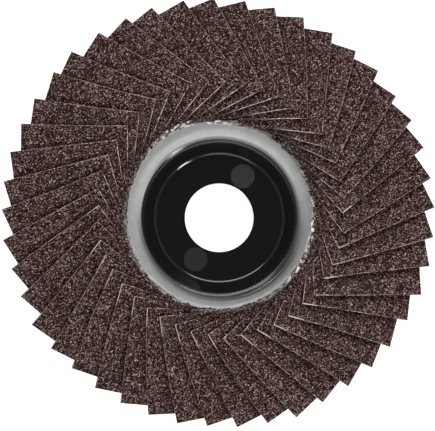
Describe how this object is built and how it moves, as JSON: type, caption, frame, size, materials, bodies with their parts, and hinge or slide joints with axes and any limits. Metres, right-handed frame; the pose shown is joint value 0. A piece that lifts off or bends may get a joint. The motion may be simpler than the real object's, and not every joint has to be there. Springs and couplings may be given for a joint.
{
  "type": "flap disc",
  "caption": "Flexible flap disc for angle grinders: overlapping abrasive cloth flaps fanned round a moulded plastic hub with a plain bore and a recess for the clamping nut.",
  "frame": {"origin": "centre of the bore in the hub's back face, where the grinder's inner flange bears", "axes": "+Z along the bore axis, out of the abrasive side; +X and +Y lie in the back face, and a flap's tip is 2.8 degrees from +X"},
  "size_m": [0.0999, 0.0999, 0.0153],
  "materials": {
    "hub_plastic": "glossy moulded black nylon",
    "cured_adhesive": "semi-gloss cast grey resin",
    "abrasive_cloth": "coarse dark brown aluminium oxide grain on cotton cloth"
  },
  "bodies": {
    "root": {"hub": "hub_plastic", "adhesive_ring": "cured_adhesive", "flap_01": "abrasive_cloth", "flap_02": "abrasive_cloth", "flap_03": "abrasive_cloth", "flap_04": "abrasive_cloth", "flap_05": "abrasive_cloth", "flap_06": "abrasive_cloth", "flap_07": "abrasive_cloth", "flap_08": "abrasive_cloth", "flap_09": "abrasive_cloth", "flap_10": "abrasive_cloth", "flap_11": "abrasive_cloth", "flap_12": "abrasive_cloth", "flap_13": "abrasive_cloth", "flap_14": "abrasive_cloth", "flap_15": "abrasive_cloth", "flap_16": "abrasive_cloth", "flap_17": "abrasive_cloth", "flap_18": "abrasive_cloth", "flap_19": "abrasive_cloth", "flap_20": "abrasive_cloth", "flap_21": "abrasive_cloth", "flap_22": "abrasive_cloth", "flap_23": "abrasive_cloth", "flap_24": "abrasive_cloth", "flap_25": "abrasive_cloth", "flap_26": "abrasive_cloth", "flap_27": "abrasive_cloth", "flap_28": "abrasive_cloth", "flap_29": "abrasive_cloth", "flap_30": "abrasive_cloth", "flap_31": "abrasive_cloth", "flap_32": "abrasive_cloth", "flap_33": "abrasive_cloth", "flap_34": "abrasive_cloth", "flap_35": "abrasive_cloth", "flap_36": "abrasive_cloth", "flap_37": "abrasive_cloth", "flap_38": "abrasive_cloth", "flap_39": "abrasive_cloth", "flap_40": "abrasive_cloth", "flap_41": "abrasive_cloth", "flap_42": "abrasive_cloth", "flap_43": "abrasive_cloth", "flap_44": "abrasive_cloth", "flap_45": "abrasive_cloth"}
  },
  "joints": []
}
